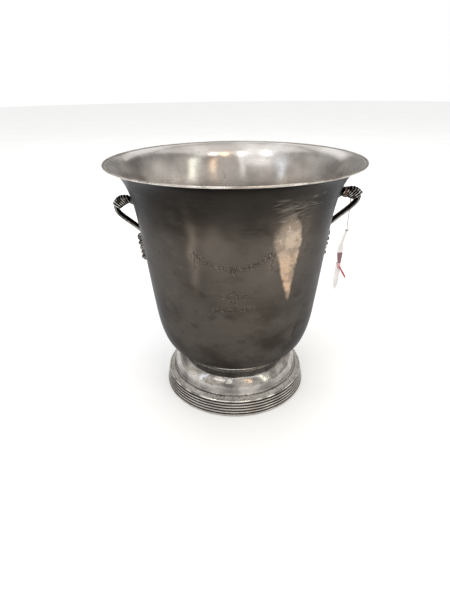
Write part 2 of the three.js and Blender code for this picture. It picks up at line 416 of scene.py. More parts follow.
def tarnished_outside():
    """Satin dark plate: cloudy patina, spun lines and worn spots, with painted highlights and painted shade
    in its colour.
    """
    edge_tint = (0.66, 0.67, 0.69, 1)
    m = Layers(
        "tarnished_outside", 1.0, Anisotropic=0.55, Anisotropic_Rotation=0.25, Specular_Tint=edge_tint)
    clouds = m.noise(15, 4, (1, 1, 1.3))
    blotches = m.noise(48, 5, (1, 1, 1.5), 0.62)
    lines = m.noise(1, 3, SPUN_LINES)
    grains = m.noise(900, 2)
    colour = m.mix(m.ramp(clouds, 0.38, 0.62), (0.035, 0.0285, 0.0230), (0.083, 0.0730, 0.0625))
    # Painted light: a lighter band across the middle of the wall, strongest from 150 to 175 mm up.
    middle = m.product(m.ramp(m.height(), 0.10, 0.15), m.ramp(m.height(), 0.205, 0.175))
    colour = m.mix(m.product(middle, 0.45), colour, (0.104, 0.0925, 0.082))
    colour = m.mix(m.ramp(blotches, 0.54, 0.70, 0, 0.6), colour, (0.033, 0.0255, 0.020))
    colour = m.mix(m.ramp(blotches, 0.46, 0.30, 0, 0.5), colour, (0.098, 0.087, 0.075))
    # Painted highlights: soft lighter streaks on the front.
    colour = m.mix(m.layer("highlight_streaks"), colour, (0.245, 0.205, 0.165))
    colour = m.mix(m.ramp(lines, 0.50, 0.80, 0, 0.3), colour, (0.15, 0.135, 0.12))
    colour = m.mix(m.ramp(grains, 0.60, 0.76, 0, 0.5), colour, (0.026, 0.020, 0.016))
    # Painted shade: darker towards the top of the wall, under the flare.
    colour = m.mix(m.ramp(m.height(), 0.188, 0.222, 0, 0.74), colour, (0.017, 0.0145, 0.0125))
    # Painted shade at both sides of the wall, most of all under the flare.
    colour = m.mix(m.layer("dark"), colour, (0.016, 0.0135, 0.0115))
    # Painted highlight: a kite-shaped place on the right front, lighter and warmer; its roughness is lowered
    # too.
    patch = m.layer("highlight_kite")
    worn = m.mix(m.ramp(m.height(), 0.196, 0.150), (0.46, 0.375, 0.295), (0.56, 0.385, 0.265))
    worn = m.mix(m.ramp(m.noise(75, 4), 0.46, 0.60, 0, 0.75), worn, (0.25, 0.195, 0.15))
    worn = m.mix(m.ramp(m.noise(260, 3), 0.58, 0.68, 0, 0.6), worn, (0.60, 0.50, 0.40))
    worn = m.mix(m.ramp(grains, 0.58, 0.74, 0, 0.55), worn, (0.16, 0.125, 0.095))
    colour = m.mix(patch, colour, worn)
    broken = m.product(m.layer("engraving"), m.ramp(m.noise(1100, 2), 0.40, 0.58, 0.22, 0.90))
    colour = m.mix(broken, colour, (0.020, 0.015, 0.0125))
    glints = m.product(m.layer("engraving"), m.ramp(m.noise(1500, 1), 0.58, 0.66, 0, 0.9))
    colour = m.mix(glints, colour, (0.36, 0.31, 0.27))
    spots = m.product(m.layer("worn"), m.ramp(blotches, 0.46, 0.60))
    colour = m.mix(spots, colour, (0.19, 0.160, 0.132))
    colour = m.mix(m.layer("scratch"), colour, (0.52, 0.46, 0.40))
    rough = m.sum(m.ramp(clouds, 0.3, 0.7, 0.33, 0.45), m.ramp(lines, 0.3, 0.7, -0.05, 0.06))
    rough = m.maths("SUBTRACT", rough, m.product(patch, 0.08))
    bump = m.sum(m.product(lines, 0.7), m.product(grains, 0.25))
    return m.finish(colour, rough, bump, 0.00005, spun=True)


def aged_inside():
    """Brighter plate inside the bowl, with turned scratches and a few cloudy stains."""
    m = Layers("aged_inside", 1.0, Anisotropic=0.5, Anisotropic_Rotation=0.25)
    clouds = m.noise(20, 5, (1, 1, 0.8))
    stains = m.noise(80, 5)
    lines = m.noise(1, 3, SPUN_LINES)
    colour = m.mix(m.ramp(clouds, 0.34, 0.66), (0.43, 0.40, 0.375), (0.62, 0.60, 0.58))
    colour = m.mix(m.ramp(stains, 0.62, 0.76, 0, 0.5), colour, (0.25, 0.215, 0.18))
    colour = m.mix(m.ramp(lines, 0.55, 0.8, 0, 0.3), colour, (0.34, 0.31, 0.28))
    # Darker towards the bottom of the inside.
    colour = m.mix(m.ramp(m.height(), 0.105, 0.050, 0, 0.35), colour, (0.30, 0.27, 0.24))
    rough = m.sum(m.ramp(clouds, 0.3, 0.7, 0.17, 0.28), m.ramp(lines, 0.3, 0.7, -0.03, 0.05))
    bump = m.sum(m.product(lines, 0.4), m.product(stains, 0.4))
    return m.finish(colour, rough, bump, 0.00004, spun=True)


def polished_silver(name, low, high, roughness, dirt_and_shade=(0.055, 0.043, 0.034), edge_tint=(1, 1, 1, 1)):
    """Plate with fine scratches and pits: "recess" darkens it with painted shade and tarnish, a layer of
    painted highlights, mostly on worn places, lightens it, "dust" dulls it.
    """
    m = Layers(name, 1.0, Specular_Tint=edge_tint)
    clouds = m.noise(45, 5, roughness=0.6)
    pits = m.noise(520, 3)
    scratches = m.noise(1, 3, (60, 60, 1800))
    cross = m.noise(1, 2, (900, 140, 260))
    colour = m.mix(m.ramp(clouds, 0.32, 0.68), low, high)
    colour = m.mix(m.ramp(pits, 0.60, 0.72, 0, 0.65), colour, dirt_and_shade)
    colour = m.mix(m.ramp(scratches, 0.58, 0.80, 0, 0.4), colour, high)
    # Painted shade, with tarnish, where "recess" is set.
    colour = m.mix(m.layer("recess"), colour, dirt_and_shade)
    # Painted highlights, mostly on worn crests and edges.
    colour = m.mix(m.layer("highlight_and_wear"), colour, (0.90, 0.86, 0.81))
    dust = m.product(m.layer("dust"), m.ramp(pits, 0.62, 0.50, 0.35, 1))
    colour = m.mix(dust, colour, (0.46, 0.43, 0.40))
    m.feed(m.shader.inputs["Metallic"], m.maths("SUBTRACT", 1.0, m.product(dust, 0.8)))
    rough = m.sum(m.ramp(clouds, 0.3, 0.7, roughness, roughness + 0.12), m.ramp(cross, 0.5, 0.8, 0, 0.08))
    rough = m.sum(rough, m.product(m.layer("recess"), 0.25))
    bump = m.sum(m.product(pits, 0.5), m.product(m.sum(scratches, cross), 0.3))
    return m.finish(colour, rough, bump, 0.00006)


def worn_brass():
    m = Layers("worn_brass", 1.0)
    clouds = m.noise(120, 5)
    pits = m.noise(900, 3)
    lines = m.noise(1, 2, (120, 120, 2200))
    colour = m.mix(m.ramp(clouds, 0.3, 0.7), (0.33, 0.22, 0.085), (0.50, 0.36, 0.16))
    colour = m.mix(m.ramp(pits, 0.58, 0.72, 0, 0.7), colour, (0.10, 0.065, 0.03))
    # Painted shade, with grime, where "recess" is set.
    colour = m.mix(m.layer("recess"), colour, (0.07, 0.045, 0.02))
    rough = m.ramp(clouds, 0.3, 0.7, 0.34, 0.55)
    return m.finish(colour, rough, m.sum(pits, lines), 0.00005)


def card_paper(name, top, bottom):
    """Soft card with a printed band near the bottom of the sheet and a tinted end."""
    m = Layers(name, 0.0, Sheen_Weight=0.15)
    height = m.height()
    fibres = m.noise(1, 4, (700, 350, 1500))
    clouds = m.noise(90, 3)
    colour = m.mix(m.ramp(clouds, 0.3, 0.7), (0.76, 0.715, 0.70), (0.84, 0.81, 0.80))
    colour = m.mix(m.ramp(fibres, 0.55, 0.8, 0, 0.35), colour, (0.66, 0.61, 0.59))
    if top is not None:
        edge = m.sum(height, m.product(fibres, 0.0006))
        band = m.product(m.ramp(edge, bottom, bottom + 0.0005), m.ramp(edge, top, top - 0.0005))
        colour = m.mix(band, colour, m.mix(fibres, (0.20, 0.105, 0.115), (0.27, 0.155, 0.165)))
        colour = m.mix(m.ramp(edge, bottom + 0.0003, bottom - 0.0003), colour, (0.74, 0.36, 0.39))
    return m.finish(colour, m.ramp(fibres, 0.3, 0.7, 0.72, 0.92), m.sum(fibres, clouds), 0.00006)


def red_paper():
    m = Layers("red_paper", 0.0, Sheen_Weight=0.1)
    fibres = m.noise(1, 4, (500, 500, 1200))
    colour = m.mix(m.ramp(fibres, 0.3, 0.7), (0.36, 0.060, 0.070), (0.50, 0.115, 0.125))
    return m.finish(colour, m.ramp(fibres, 0.3, 0.7, 0.6, 0.85), fibres, 0.00008)


def twisted_thread(name, light, dark):
    """Two-ply thread: slanting plies shown by a helical wave."""
    m = Layers(name, 0.0, Sheen_Weight=0.3)
    wave = m.add("ShaderNodeTexWave", {"Vector": m.place, "Scale": 420.0, "Distortion": 1.5, "Detail": 2.0})
    wave.bands_direction = "DIAGONAL"
    fuzz = m.noise(2500, 3)
    # The wave's dark bands are painted shade in the grooves between the plies.
    colour = m.mix(wave.outputs["Fac"], dark, light)
    colour = m.mix(m.ramp(fuzz, 0.5, 0.8, 0, 0.4), colour, dark)
    return m.finish(colour, m.ramp(fuzz, 0.3, 0.7, 0.75, 0.95), wave.outputs["Fac"], 0.0001)


def studio_floor():
    m = Layers("studio_floor", 0.0)
    grain = m.noise(6, 3)
    colour = m.mix(m.ramp(grain, 0.3, 0.7), (0.90, 0.90, 0.895), (0.92, 0.92, 0.915))
    return m.finish(colour, 0.9)


# ---- bowl ----


def bowl_outline():
    """Outer side of the bowl: rounded bottom, nearly straight wall, flared lip."""
    lip = (RIM_RADIUS - 2 * WIRE_RADIUS + 0.4, HEIGHT - 1.7)
    return np.vstack([
        bezier((SEAT_RADIUS, SEAT_HEIGHT), (69, SEAT_HEIGHT), (78, 58), (83, 96)),
        bezier((83, 96), (86, 119), (92, 182), (95.2, 200), 40)[1:],
        bezier((95.2, 200), (99, 221), (105, 237), lip)[1:],
    ])


OUTLINE = bowl_outline()


def wall_radius(heights):
    return np.interp(heights, OUTLINE[:, 1], OUTLINE[:, 0])


def dents(points):
    """Shallow knocks in the wall: depth in millimetres at each point."""
    knocks = [
        (20, 150, 15, 0.45), (37, 176, 13, 0.55), (44, 120, 11, 0.4), (31, 92, 12, 0.35),
        (-18, 201, 12, 0.35), (-47, 150, 14, 0.3), (-26, 84, 12, 0.3), (120, 168, 16, 0.5),
        (160, 110, 15, 0.4), (-150, 150, 18, 0.5), (-110, 96, 13, 0.35), (78, 104, 12, 0.3),
    ]
    total = np.zeros(len(points))
    for azimuth, height, size, depth in knocks:
        across = np.radians(degrees_from(azimuth, points)) * radius_of(points)
        total += depth * np.exp(-(across ** 2 + (points[:, 2] - height) ** 2) / size ** 2)
    return total


def garland_strokes():
    """Lines of the engraving, as (across, up, across, up, half width), in millimetres."""
    strokes = []

    def line(x0, z0, x1, z1, half=0.42):
        strokes.append((x0, z0, x1, z1, half))

    def leaf(x, z, angle, length):
        tip = (x + length * math.cos(angle), z + length * math.sin(angle))
        middle = (x + 0.6 * length * math.cos(angle), z + 0.6 * length * math.sin(angle))
        line(x, z, *middle, 0.45)
        line(*middle, *tip, 0.25)

    def rosette(x, z, size):
        for petal in range(8):
            angle = petal * math.pi / 4
            ray = (math.cos(angle), math.sin(angle))
            line(x + 0.3 * size * ray[0], z + 0.3 * size * ray[1], x + size * ray[0], z + size * ray[1], 0.6)

    def scroll(side, turn):
        size = 3.4 * (1 - turn / (2.4 * math.pi))
        return side * (10.5 + size * math.cos(turn)), 140 + size * math.sin(turn)

    half_span, sag, low = 33, 12, 167
    for side in (-1, 1):
        spots = [(u * half_span, low + sag * u ** 1.6) for u in np.linspace(0.14, 0.94, 11)]
        for (x0, z0), (x1, z1) in zip(spots, spots[1:]):
            line(side * x0, z0, side * x1, z1, 0.3)
            slope = math.atan2(z1 - z0, x1 - x0)
            for spread in (0.9, -0.9):
                angle = slope + spread
                leaf(side * x0, z0, angle if side > 0 else math.pi - angle, 3.8)
        rosette(side * half_span, low + sag, 3.4)
        for drop in range(4):
            wave = 0.8 * (-1) ** drop
            top = low + sag - 4.2 - 2.6 * drop
            line(side * half_span - wave, top, side * half_span + wave, top - 2.2)
    rosette(0, low, 4.0)
    for size in (5.2, 3.0):
        for across, up in ((1, 1), (1, -1), (-1, 1), (-1, -1)):
            line(0, 141 + up * size * 1.25, across * size, 141)
    for side in (-1, 1):
        for turn in np.linspace(0, 1.6 * math.pi, 10)[:-1]:
            line(*scroll(side, turn), *scroll(side, turn + 0.18 * math.pi), 0.36)
    for up in (129.2, 126.4):
        line(-19, up, 19, up, 0.36)
    return strokes


def engraving(points):
    """How deep the graver went at each point, from 0 to 1."""
    around = azimuth_of(points) - ENGRAVING_AZIMUTH
    across = np.radians(around) * radius_of(points)
    low, high = ENGRAVING_HEIGHTS
    near = (np.abs(around) < 30) & (points[:, 2] > low) & (points[:, 2] < high)
    near &= radius_of(points) > wall_radius(points[:, 2]) - WALL / 2
    spot = np.stack([across[near], points[near, 2]], 1)
    best = np.zeros(len(spot))
    for x0, z0, x1, z1, half in garland_strokes():
        start, run = np.array([x0, z0]), np.array([x1 - x0, z1 - z0])
        t = np.clip((spot - start) @ run / (run @ run), 0, 1)
        gap = np.linalg.norm(spot - start - t[:, None] * run, axis=1)
        best = np.maximum(best, step_between(half + 0.35 - gap, 0, 0.5))
    cut = np.zeros(len(points))
    cut[near] = best
    return cut


def painted_highlight_kite(points):
    """Painted highlight: a kite-shaped lighter place on the right front."""
    corners = (131, 188, 202, 216)
    azimuths, z = azimuth_of(points), points[:, 2]
    wobble = 0.5 * ripple(points, 9, 5) + 0.35 * ripple(points, 3.5, 6)
    from_left = azimuths + wobble - np.interp(z, corners, (29, 16.5, 18.5, 24))
    from_right = np.interp(z, corners, (29.5, 33.5, 31.5, 25)) - azimuths - wobble
    soft = 1.3 + 3.2 * step_between(z, 172, 200)
    inside = step_between(from_left / soft, -0.6, 1) * step_between(from_right, -0.7, 1.3)
    fade = step_between(z, 128, 134) * step_between(-z, -219, -197)
    return inside * fade


def blobs(points, spots):
    """Soft blobs: each one's azimuth, height, half width in degrees, half height and strength."""
    total = np.zeros(len(points))
    for azimuth, height, wide, tall, amount in spots:
        around = degrees_from(azimuth, points)
        total += amount * np.exp(-(around / wide) ** 2 - ((points[:, 2] - height) / tall) ** 2)
    return total


def painted_highlight_streaks(points):
    """Painted highlights: lighter streaks on the front, with no clear edge."""
    return (1 + 0.35 * ripple(points, 14, 7)) * blobs(points, [
        (-25, 184, 2.8, 27, 0.55), (-14, 190, 8, 20, 0.22), (19, 204, 5, 18, 0.30),
        (34, 196, 5, 26, 0.25), (17, 172, 4, 16, 0.22), (4, 150, 22, 40, 0.10),
    ])


def worn_areas(points):
    """Cloudy places where the plate is thin: beside the patch, low down and at the sides."""
    return blobs(points, [
        (27, 190, 14, 36, 0.35), (40, 88, 11, 16, 0.30), (-46, 140, 12, 40, 0.20),
        (150, 150, 22, 40, 0.35), (-140, 110, 25, 30, 0.35), (100, 190, 14, 30, 0.3),
    ])


def painted_side_shade(points):
    """Painted shade at both sides, most of all under the flare."""
    azimuths, z = azimuth_of(points), points[:, 2]
    side = np.maximum(step_between(-azimuths, 24, 66), step_between(azimuths, 34, 70))
    front = 1 - step_between(np.abs(azimuths), 105, 150)
    amount = 0.10 + 0.32 * step_between(z, 165, 214)
    return side * front * amount * (1 + 0.25 * ripple(points, 26, 8))


def stray_scratches(points):
    """Fine bright scratches over the patch."""
    chance = np.random.default_rng(11)
    azimuths, z = azimuth_of(points), points[:, 2]
    total = np.zeros(len(points))
    for _ in range(40):
        azimuth, height = chance.normal(26, 7), chance.normal(216, 5)
        length, tilt = chance.uniform(3, 9), chance.uniform(-0.2, 0.6)
        gap = np.abs(z - height - tilt * (azimuths - azimuth))
        along = 1 - np.clip(np.abs(azimuths - azimuth) / length, 0, 1)
        total = np.maximum(total, chance.uniform(0.12, 0.45) * along * (1 - np.clip(gap / 0.5, 0, 1)))
    return total


def make_bowl():
    def step_at(radius, height):
        if radius < SEAT_RADIUS + 1:
            return 5
        return 0.6 if ENGRAVING_HEIGHTS[0] < height < ENGRAVING_HEIGHTS[1] + 36 else 1.6

    outer = respaced(OUTLINE, step_at)
    inner = respaced(offset(OUTLINE, -WALL), lambda radius, height: 2.2)[::-1]
    inner[-1, 1] = SEAT_HEIGHT + WALL
    middle = np.linspace(0, SEAT_RADIUS, 12)[:-1]
    under = np.stack([middle, np.full_like(middle, SEAT_HEIGHT)], 1)
    floor = np.stack([middle[::-1], np.full_like(middle, SEAT_HEIGHT + WALL)], 1)
    azimuths = np.concatenate([np.arange(-34, 48, 0.5), np.arange(48, 326, 1.6)])
    bowl = turned("bowl_shell", np.vstack([under, outer, inner, floor]), azimuths, closed=False)

    points = places(bowl)
    outside = radius_of(points) > wall_radius(points[:, 2]) - WALL / 2
    outside |= points[:, 2] < SEAT_HEIGHT + 0.1
    cut = engraving(points)
    wavy = 0.10 * ripple(points, 55, 1) + 0.035 * ripple(points, 17, 2)
    held = step_between(points[:, 2], 50, 62) * step_between(-points[:, 2], -239, -228)
    push_out(points, held * (wavy - dents(points)) - 0.16 * cut)
    add_layer(bowl, "engraving", cut)
    for name, values_at in (
        ("highlight_kite", painted_highlight_kite), ("worn", worn_areas), ("highlight_streaks", painted_highlight_streaks),
        ("dark", painted_side_shade), ("scratch", stray_scratches),
    ):
        add_layer(bowl, name, values_at(points) * outside)
    set_places(bowl, points)
    finish_piece(bowl, "bucket", "tarnished_silver", [tarnished_outside(), aged_inside()], "bowl")
    for face in bowl.data.polygons:
        face.material_index = 0 if all(outside[v] for v in face.vertices) else 1


def make_rim():
    centre = (RIM_RADIUS - WIRE_RADIUS, HEIGHT - WIRE_RADIUS)
    rim = turned("rim_bead", arc(centre, WIRE_RADIUS, 0, 345, 14), 300)
    points = places(rim)
    # Painted shade on the inner side of the bead, towards the lip.
    add_layer(rim, "recess", 0.5 * step_between(centre[0] - radius_of(points), 0.2, 1.0))
    silver = polished_silver("rim_silver", (0.38, 0.345, 0.305), (0.74, 0.70, 0.65), 0.18)
    finish_piece(rim, "bucket", "polished_silver", [silver], "rim_wire")


# ---- foot ----


def make_collar():
    """The band under the bowl: an upright face with small rounded edges."""
    low, edge, out = COLLAR_TOP - COLLAR_THICKNESS, 0.4, COLLAR_RADIUS + COLLAR_PROUD
    outline = np.vstack([
        [(COLLAR_INNER_RADIUS, low)], arc((out - edge, low + edge), edge, -90, 0, 7),
        arc((out - edge, COLLAR_TOP - edge), edge, 0, 90, 7), [(COLLAR_INNER_RADIUS, COLLAR_TOP)],
    ])
    collar = turned("collar_ring", outline, 192, sharp=50)
    away = radius_of(places(collar))
    face = step_between(away, out - edge, out - 0.1)
    # Painted shade on the inner part of the collar, under the bowl, and a painted highlight over its whole
    # outer face.
    add_layer(collar, "recess", 0.6 * step_between(-away, 1.2 - out, 3 - out))
    add_layer(collar, "highlight_and_wear", 0.9 * face)
    add_layer(collar, "dust", 0.7 * face * step_between(ripple(places(collar), 30, 27), -1.2, 0.8))
    silver = polished_silver("collar_silver", (0.78, 0.73, 0.67), (0.93, 0.88, 0.82), 0.14)
    finish_piece(collar, "bucket", "polished_silver", [silver], "foot_collar")


def dome_skin():
    side = bezier(
        (NECK_RADIUS, DOME_TOP), (57, DOME_TOP - 0.6), (STEP_RADIUS, 34), (STEP_RADIUS, 21.6), 30)
    return np.vstack([
        arc((SHOULDER_RADIUS - 0.9, SHOULDER_HEIGHT - 0.1), 0.9, -60, 70, 7),
        [(72.2, 17.7), (69.6, 19.0), (68.2, 19.6)],
        arc((68.3, 20.6), 1.0, 250, 190, 5),
        side[::-1],
        [(30, DOME_TOP), (DOME_HOLE_RADIUS, DOME_TOP)],
    ])


def make_dome():
    skin = dome_skin()
    lining = offset(skin[4:], -FOOT_WALL)[::-1]
    lining[0] = (DOME_HOLE_RADIUS, DOME_TOP - FOOT_WALL)
    foot = [(72.6, RING_HEIGHT + 0.3), (SHOULDER_RADIUS - 0.5, RING_HEIGHT + 0.3)]
    dome = turned("dome_shell", np.vstack([skin, lining[:-1], foot]), 256, sharp=60)
    points = places(dome)
    away, height = radius_of(points), points[:, 2]
    bulge = step_between(away, 50, 56) * step_between(height, 20, 25)
    push_out(points, bulge * (0.16 * ripple(points, 24, 21) + 0.07 * ripple(points, 9, 22)))
    set_places(dome, points)
    # The "recess" layer: painted shade in the crease of the step and on the shell's underside, tarnish
    # specks on the shoulder, and cloudy darkening low on the dome's side.
    in_step = 0.6 * np.exp(-((away - 68.0) / 0.4) ** 2 - ((height - 20.2) / 0.7) ** 2)
    on_shoulder = step_between(away, 68.6, 69.6) * step_between(-away, -73.4, -72.4)
    specks = ripple(points, 5, 23) + 0.5 * ripple(points, 2.2, 24)
    speckle = 0.35 * on_shoulder * step_between(specks, 0.2, 1.1)
    inside = 0.55 * (normals(dome)[:, 2] < -0.02)
    foot_band = 0.40 * step_between(-height, -33, -24) * step_between(ripple(points, 30, 26), -1.1, 0.6)
    add_layer(dome, "recess", np.maximum.reduce([in_step, speckle, inside, foot_band]))
    under_collar = 0.40 * step_between(-away, -63, -51)
    add_layer(dome, "dust", np.maximum(0.75 * on_shoulder * (height < 20), under_collar))
    # Painted highlights, on worn places, along the shoulder's outer edge and the crease by the step.
    edge = step_between(away, SHOULDER_RADIUS - 1.3, SHOULDER_RADIUS - 0.5) * (height > RING_HEIGHT)
    crease = np.exp(-((away - 69.3) / 0.5) ** 2) * (height > 18.4)
    worn = step_between(ripple(points, 12, 25), -0.9, 0.3)
    add_layer(dome, "highlight_and_wear", 0.75 * worn * np.maximum(edge, crease))
    silver = polished_silver("dome_silver", (0.25, 0.235, 0.225), (0.62, 0.59, 0.555), 0.08)
    finish_piece(dome, "bucket", "polished_silver", [silver], "foot_dome")


def reed_outline(count=13):
    """Outer side of the reeded band: round reeds with V-shaped grooves, leaning in with the band."""
    pitch = RING_HEIGHT / REEDS
    points = []
    for reed in range(REEDS):
        for across in np.linspace(-1, 1, count)[:-1]:
            height = (reed + (1 + across) / 2) * pitch
            groove = BASE_RADIUS - REED_DEPTH - RING_TAPER * height / RING_HEIGHT
            points.append((groove + REED_DEPTH * (1 - across ** 2), height))
    return np.array(points)


def make_reeded_band():
    top = BASE_RADIUS - RING_TAPER - REED_DEPTH
    outline = np.vstack([
        [(FLANGE_INNER_RADIUS, 0.2), (FLANGE_INNER_RADIUS + 0.2, 0)],
        reed_outline(),
        [(top, RING_HEIGHT), (top - 2.6, RING_HEIGHT), (top - 2.2, FLANGE_THICKNESS)],
        [(FLANGE_INNER_RADIUS + 0.2, FLANGE_THICKNESS), (FLANGE_INNER_RADIUS, FLANGE_THICKNESS - 0.2)],
    ])
    band = turned("reeded_band", outline, 256, sharp=75)
    points = places(band)
    depth = BASE_RADIUS - RING_TAPER * points[:, 2] / RING_HEIGHT - radius_of(points)
    on_reeds = radius_of(points) > top - 0.1
    worn = step_between(ripple(points, 25, 32), -1, 0.6)
    dusty = step_between(ripple(points, 40, 33), -1, 1)
    # Painted shade, with tarnish, in the grooves, and painted highlights on worn reed crests.
    add_layer(band, "recess", on_reeds * step_between(depth, 0.15, 0.50))
    add_layer(band, "highlight_and_wear", 0.6 * worn * step_between(-depth, -0.10, 0))
    add_layer(band, "dust", 0.5 * dusty * step_between(-depth, -0.2, 0))
    dirt_and_shade = (0.010, 0.008, 0.007)
    silver = polished_silver("reed_silver", (0.24, 0.22, 0.205), (0.46, 0.43, 0.40), 0.16, dirt_and_shade)
    finish_piece(band, "bucket", "polished_silver", [silver], "reeded_ring")


# ---- fixing under the foot ----


def make_stud():
    top, rounding = STUD_HEAD_TOP, 0.6
    under = top - STUD_HEAD_HEIGHT
    head = [(0, top), (STUD_HEAD_RADIUS - rounding, top), (STUD_HEAD_RADIUS, top - rounding)]
    neck = [(STUD_HEAD_RADIUS, under), (STUD_RADIUS, under)]
    first = top - 4
    thread = []
    for turn in range(int((first - STUD_BOTTOM) / STUD_THREAD_PITCH)):
        crest = first - turn * STUD_THREAD_PITCH
        thread += [(STUD_RADIUS, crest), (STUD_RADIUS - 0.45, crest - STUD_THREAD_PITCH / 2)]
    end = [(STUD_RADIUS - 0.8, STUD_BOTTOM), (0, STUD_BOTTOM)]
    stud = turned("stud_screw", np.array(head + neck + thread + end, float), 64, closed=False, sharp=35)
    points = places(stud)
    # Painted shade, with grime, in the thread grooves.
    groove = (radius_of(points) < STUD_RADIUS - 0.3) & (points[:, 2] > STUD_BOTTOM + 1)
    add_layer(stud, "recess", 0.8 * groove)
    finish_piece(stud, "bucket", "plain_brass", [worn_brass()], "centre_stud")


def make_washer():
    inner, outer, edge = STUD_RADIUS + BORE_GAP, WASHER_RADIUS, 0.4
    top, bottom = WASHER_TOP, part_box("spreader_washer")[0].z / MM
    outline = np.array([
        (inner, bottom), (outer - edge, bottom), (outer, bottom + edge),
        (outer, top - edge), (outer - edge, top), (inner, top),
    ])
    washer = turned("washer_plate", outline, 96, sharp=35)
    # Painted shade, with grime, on the inner part round the bore.
    add_layer(washer, "recess", 0.5 * step_between(-radius_of(places(washer)), -9, -7))
    finish_piece(washer, "bucket", "plain_brass", [bpy.data.materials["worn_brass"]], "spreader_washer")


def make_nut():
    """A hexagon nut with chamfered corners: the outline's radius changes as it goes round."""
    flat, bottom = NUT_ACROSS_FLATS / 2, NUT_TOP - NUT_HEIGHT
    azimuths = np.arange(0, 360, 5)
    hexagon = flat / np.cos(np.radians(azimuths % 60 - 30))
    lean = (hexagon - flat) * math.tan(math.radians(30))
    circle = np.full_like(hexagon, flat - 0.2)
    bore = np.full_like(hexagon, STUD_RADIUS + BORE_GAP)
    rings = [
        (bore, bottom + 0 * lean), (circle, bottom + 0 * lean), (hexagon, bottom + 0.1 + lean),
        (hexagon, NUT_TOP - 0.1 - lean), (circle, NUT_TOP + 0 * lean), (bore, NUT_TOP + 0 * lean),
    ]
    turn = np.radians(azimuths)
    points = np.array([np.stack([r * np.sin(turn), -r * np.cos(turn), z], 1) for r, z in rings])
    nut = piece_from("hex_nut", lambda bm: add_grid(bm, points, True, True), sharp=20)
    # Painted shade, with grime, round the bore.
    add_layer(nut, "recess", 0.7 * (radius_of(places(nut)) < STUD_RADIUS + 1))
    finish_piece(nut, "bucket", "plain_brass", [bpy.data.materials["worn_brass"]], "centre_nut")


# ---- cast handles ----


def add_lobe(bm, half, squareness, centre, tilt=0.0, sides=48, rings=32):
    """A sphere with its sides pressed flat along X and Y, then sized, tilted about Y and moved."""
    lobe = bmesh.ops.create_uvsphere(bm, u_segments=sides, v_segments=rings, radius=1)["verts"]
    turn = Matrix.Rotation(-tilt, 3, "Y")
    for vertex in lobe:
        powers = (squareness, squareness, 1.0)
        pressed = Vector(math.copysign(abs(c) ** p, c) * h for c, p, h in zip(vertex.co, powers, half))
        vertex.co = turn @ pressed + Vector(centre)


STRAP_POINTS = [
    (90, 0, 202.4), (97, 0, 205), (105, 0, 208), (112, 0, 208.6), (117.1, 0, 204.2), (116.7, 0, 198),
    (112.4, 0, 192.5), (102, 0, 184), (94, 0, 177.4), (86, 0, 170.8),
]


def add_strap(bm):
    """The strap: an oval section with a raised rib and two hollows along its outer side."""
    line = smooth_line(STRAP_POINTS, 150)
    angles = np.radians(np.arange(0, 360, 7.5))
    across = STRAP_WIDTH / 2 * np.cos(angles)
    out = STRAP_THICKNESS / 2 * np.sin(angles)
    outer_side = step_between(np.sin(angles), 0.2, 0.7)
    rib = 0.5 * np.exp(-(across / 0.9) ** 2) * outer_side
    hollows = 0.45 * np.exp(-((np.abs(across) - 2.2) / 0.8) ** 2) * outer_side
    rows = []
    for number, (here, way) in enumerate(zip(line, directions_along(line))):
        outward = np.array([-way[2], 0, way[0]])
        strength = step_between(np.array(number / len(line)), 0.42, 0.5)
        section = out + (rib - hollows) * strength
        rows.append(here + across[:, None] * np.array([0, 1, 0]) + section[:, None] * outward)
    add_grid(bm, np.array(rows), round_columns=True, capped=True)


def bend_from_root(bm, reach_scale, rise):
    for vertex in bm.verts:
        away = vertex.co.x - HANDLE_ROOT
        vertex.co.x += away * (reach_scale - 1)
        vertex.co.z += away * rise


def add_handle(bm):
    """The strap, the overlapping lobes of the shell head, and the root block behind them."""
    add_strap(bm)
    for i in range(LOBES):
        t = i / (LOBES - 1)
        bulge = math.sin(math.pi * t)
        half = (5.4 + 1.2 * bulge - 1.2 * t, 7 - 1.6 * t, 1.2)
        x, z = (first + (last - first) * t for first, last in zip(LOBE_FIRST, LOBE_LAST))
        centre = (x + 0.8 * bulge, 0, z + 1.4 * bulge)
        add_lobe(bm, half, 0.62, centre, math.radians(34 + 24 * t))
    add_lobe(bm, (5.5, 5.4, 4.2), 0.8, (97, 0, 205.4), 0.2)


def add_bent_handle(bm, reach_scale, rise):
    add_handle(bm)
    bend_from_root(bm, reach_scale, rise)


def add_drop(bm):
    """The boss and its beads, each as (height, half height, half width, how far it stands out)."""
    beads = [
        (167.9, 4.4, 3.8, 4.4), (161.6, 3.0, 3.5, 4.9), (156.4, 2.8, 3.2, 4.6),
        (151.7, 2.5, 3.0, 4.3), (147.0, 2.8, 2.7, 4.6),
    ]
    foot, slope = (89.7, 145), 3.4 / 31
    for height, half_height, half_width, proud in beads:
        centre = (foot[0] + (height - foot[1]) * slope, 0, height)
        add_lobe(bm, (proud, half_width, half_height * 0.93), 0.85, centre)
        add_lobe(bm, (proud * 0.55, half_width * 0.8, 0.8), 0.85, (centre[0], 0, height - half_height))


def neighbour_mean(values, edges):
    """For each point, the mean of the points next to it."""
    ends = np.concatenate([edges[:, 0], edges[:, 1]])
    others = np.concatenate([edges[:, 1], edges[:, 0]])
    count = np.maximum(np.bincount(ends, minlength=len(values)), 1)
    sums = [np.bincount(ends, values[others, axis], len(values)) for axis in range(3)]
    return np.stack(sums, 1) / count[:, None]


